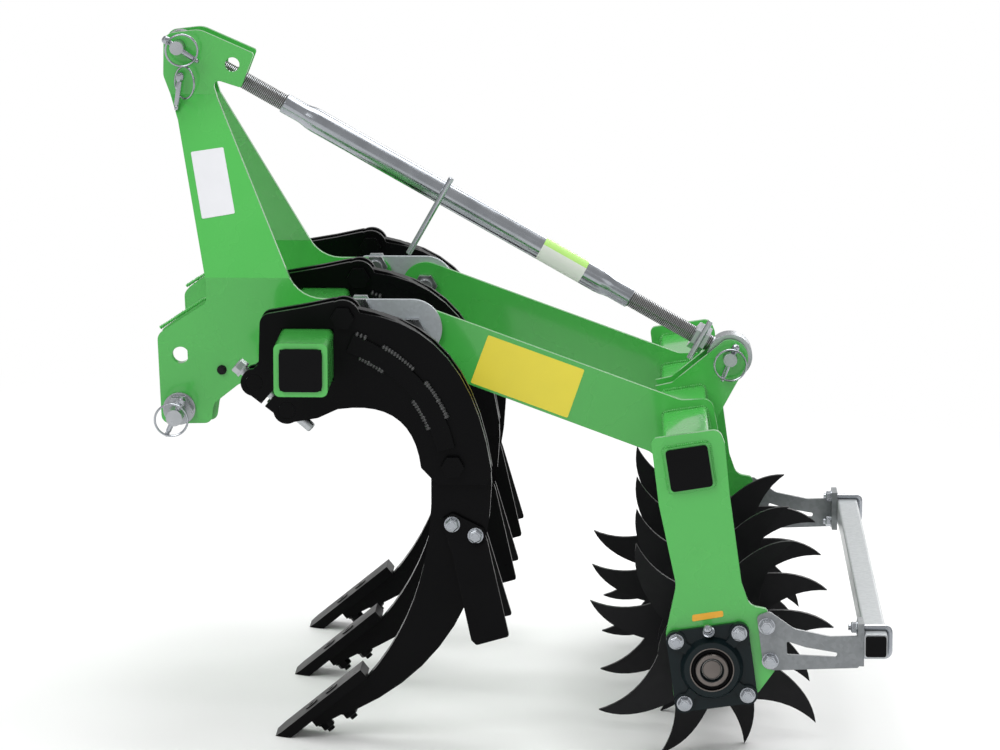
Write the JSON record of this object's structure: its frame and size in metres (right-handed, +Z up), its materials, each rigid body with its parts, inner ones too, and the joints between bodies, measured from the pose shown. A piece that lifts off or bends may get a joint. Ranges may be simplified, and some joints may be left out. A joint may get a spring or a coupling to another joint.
{
  "type": "three-leg subsoiler with spiked roller",
  "caption": "Mounted subsoiler: curved legs with shares and wings clamped on a square toolbar, three-point headstock, spiked rear roller set by a turnbuckle.",
  "frame": {"origin": "on the ground under the middle of the overall box", "axes": "+X back from the tractor, +Y to the machine's right, +Z up"},
  "size_m": [1.0275, 1.048, 0.9029],
  "materials": {
    "green_paint": "gloss powder coat, bright leaf green",
    "black_paint": "gloss black paint over scaled steel",
    "dark_paint": "satin charcoal paint",
    "housing_paint": "dark blue-green painted casting",
    "zinc_plate": "zinc plated, faint spangle",
    "bare_steel": "light grey steel tube",
    "black_plastic": "moulded black plastic"
  },
  "bodies": {
    "frame": {"toolbar": "green_paint", "toolbar_plugs": "black_plastic", "headstock_left": "green_paint", "headstock_right": "green_paint", "hitch_doublers": "green_paint", "lower_pins": "zinc_plate", "top_pin": "zinc_plate", "link_plates": "zinc_plate", "link_bolts": "zinc_plate", "pivot_bolts": "zinc_plate", "bracket_left": "black_paint", "bracket_middle": "black_paint", "bracket_right": "black_paint", "clamp_bolts": "zinc_plate", "leg_bolts": "black_paint", "leg_left": "black_paint", "leg_middle": "black_paint", "leg_right": "black_paint", "share_left": "black_paint", "share_middle": "black_paint", "share_right": "black_paint", "wings_left": "black_paint", "wings_middle": "black_paint", "wings_right": "black_paint", "clamp_barrels": "black_paint"},
    "roller_frame": {"arm_left": "green_paint", "arm_right": "green_paint", "cross_tube": "green_paint", "cross_plugs": "black_plastic", "tie_lugs": "green_paint", "lug_pin": "zinc_plate", "side_plate_left": "green_paint", "side_plate_right": "green_paint", "bearing_left": "housing_paint", "bearing_right": "housing_paint", "scraper_brackets": "zinc_plate", "scraper_bar": "zinc_plate", "scraper_clamps": "zinc_plate", "scraper_plugs": "black_plastic"},
    "roller": {"roller_tube": "bare_steel", "star_1": "dark_paint", "star_2": "dark_paint", "star_3": "dark_paint", "star_4": "dark_paint", "star_5": "dark_paint", "star_6": "dark_paint", "star_7": "dark_paint", "star_8": "dark_paint", "star_9": "dark_paint", "star_10": "dark_paint", "star_11": "dark_paint"},
    "tie_front": {"tie_front_rod": "zinc_plate"},
    "tie_middle": {"tie_tube": "zinc_plate"},
    "tie_rear": {"tie_rear_rod": "zinc_plate", "lock_nut": "zinc_plate"}
  },
  "joints": [
    {"name": "arm_pivot", "type": "hinge", "parent": "frame", "child": "roller_frame", "pos_m": [-0.14507, 0, 0.5349], "axis": [0, -1, 0], "range_deg": [-6, 30]},
    {"name": "roller_spin", "type": "hinge", "parent": "roller_frame", "child": "roller", "pos_m": [0.27834, 0, 0.15552], "axis": [0, 1, 0], "continuous": true},
    {"name": "tie_swing", "type": "hinge", "parent": "frame", "child": "tie_front", "pos_m": [-0.49345, 0, 0.87934], "axis": [0, -1, 0], "range_deg": [-2.98, 14.12]},
    {"name": "tie_front_thread", "type": "slide", "parent": "tie_front", "child": "tie_middle", "axis": [0.896, 0, -0.444], "range_m": [-0.05376, 0.01235]},
    {"name": "tie_rear_thread", "type": "slide", "parent": "tie_middle", "child": "tie_rear", "axis": [0.896, 0, -0.444], "range_m": [-0.05376, 0.01235]}
  ],
  "couplings": [
    {"joint": "tie_swing", "follows": "arm_pivot", "ratio": 0.464},
    {"joint": "tie_front_thread", "follows": "arm_pivot", "m_per_rad": -0.09885},
    {"joint": "tie_rear_thread", "follows": "arm_pivot", "m_per_rad": -0.09885}
  ]
}
